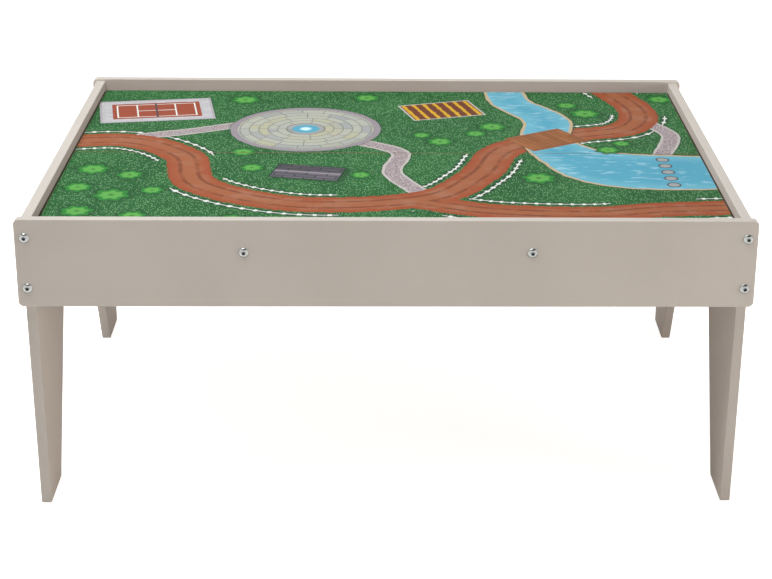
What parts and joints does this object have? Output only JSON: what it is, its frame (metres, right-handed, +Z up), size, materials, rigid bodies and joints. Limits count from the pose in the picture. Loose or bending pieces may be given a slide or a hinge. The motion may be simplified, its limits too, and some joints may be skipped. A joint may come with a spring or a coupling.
{
  "type": "train table",
  "caption": "Low play table: bolted aprons and end panels that taper into legs, with loose printed boards lying in a tray below the rim.",
  "frame": {"origin": "centre of the table's outline, on the floor under the feet", "axes": "+X along the table's length, to the right seen from the front; -Y is the front; +Z up"},
  "size_m": [0.84, 0.6116, 0.368],
  "materials": {
    "painted_board": "fibreboard with a smooth satin paint in a warm grey",
    "printed_board": "thin fibreboard, printed and sealed matt on top, brown and bare below",
    "timber": "planed bare softwood",
    "bright_steel": "bright plated steel",
    "zinc_steel": "zinc-plated steel"
  },
  "bodies": {
    "frame": {"front_apron": "painted_board", "rear_apron": "painted_board", "left_end_panel": "painted_board", "right_end_panel": "painted_board", "left_cross_bar": "timber", "right_cross_bar": "timber", "left_ledge": "timber", "right_ledge": "timber", "front_corner_bolts": "bright_steel", "rear_corner_bolts": "bright_steel", "front_bar_bolts": "bright_steel", "rear_bar_bolts": "bright_steel", "left_panel_barrel_nuts": "zinc_steel", "right_panel_barrel_nuts": "zinc_steel", "left_bar_barrel_nuts": "zinc_steel", "right_bar_barrel_nuts": "zinc_steel", "left_bar_dowels": "timber", "right_bar_dowels": "timber", "left_ledge_screws": "zinc_steel", "right_ledge_screws": "zinc_steel"},
    "front_board": {"front_play_board": "printed_board"},
    "rear_board": {"rear_play_board": "printed_board"}
  },
  "joints": [
    {"name": "front_board_lift", "type": "slide", "parent": "frame", "child": "front_board", "axis": [0, 0, 1], "range_m": [0, 0.06]},
    {"name": "rear_board_lift", "type": "slide", "parent": "frame", "child": "rear_board", "axis": [0, 0, 1], "range_m": [0, 0.06]}
  ]
}
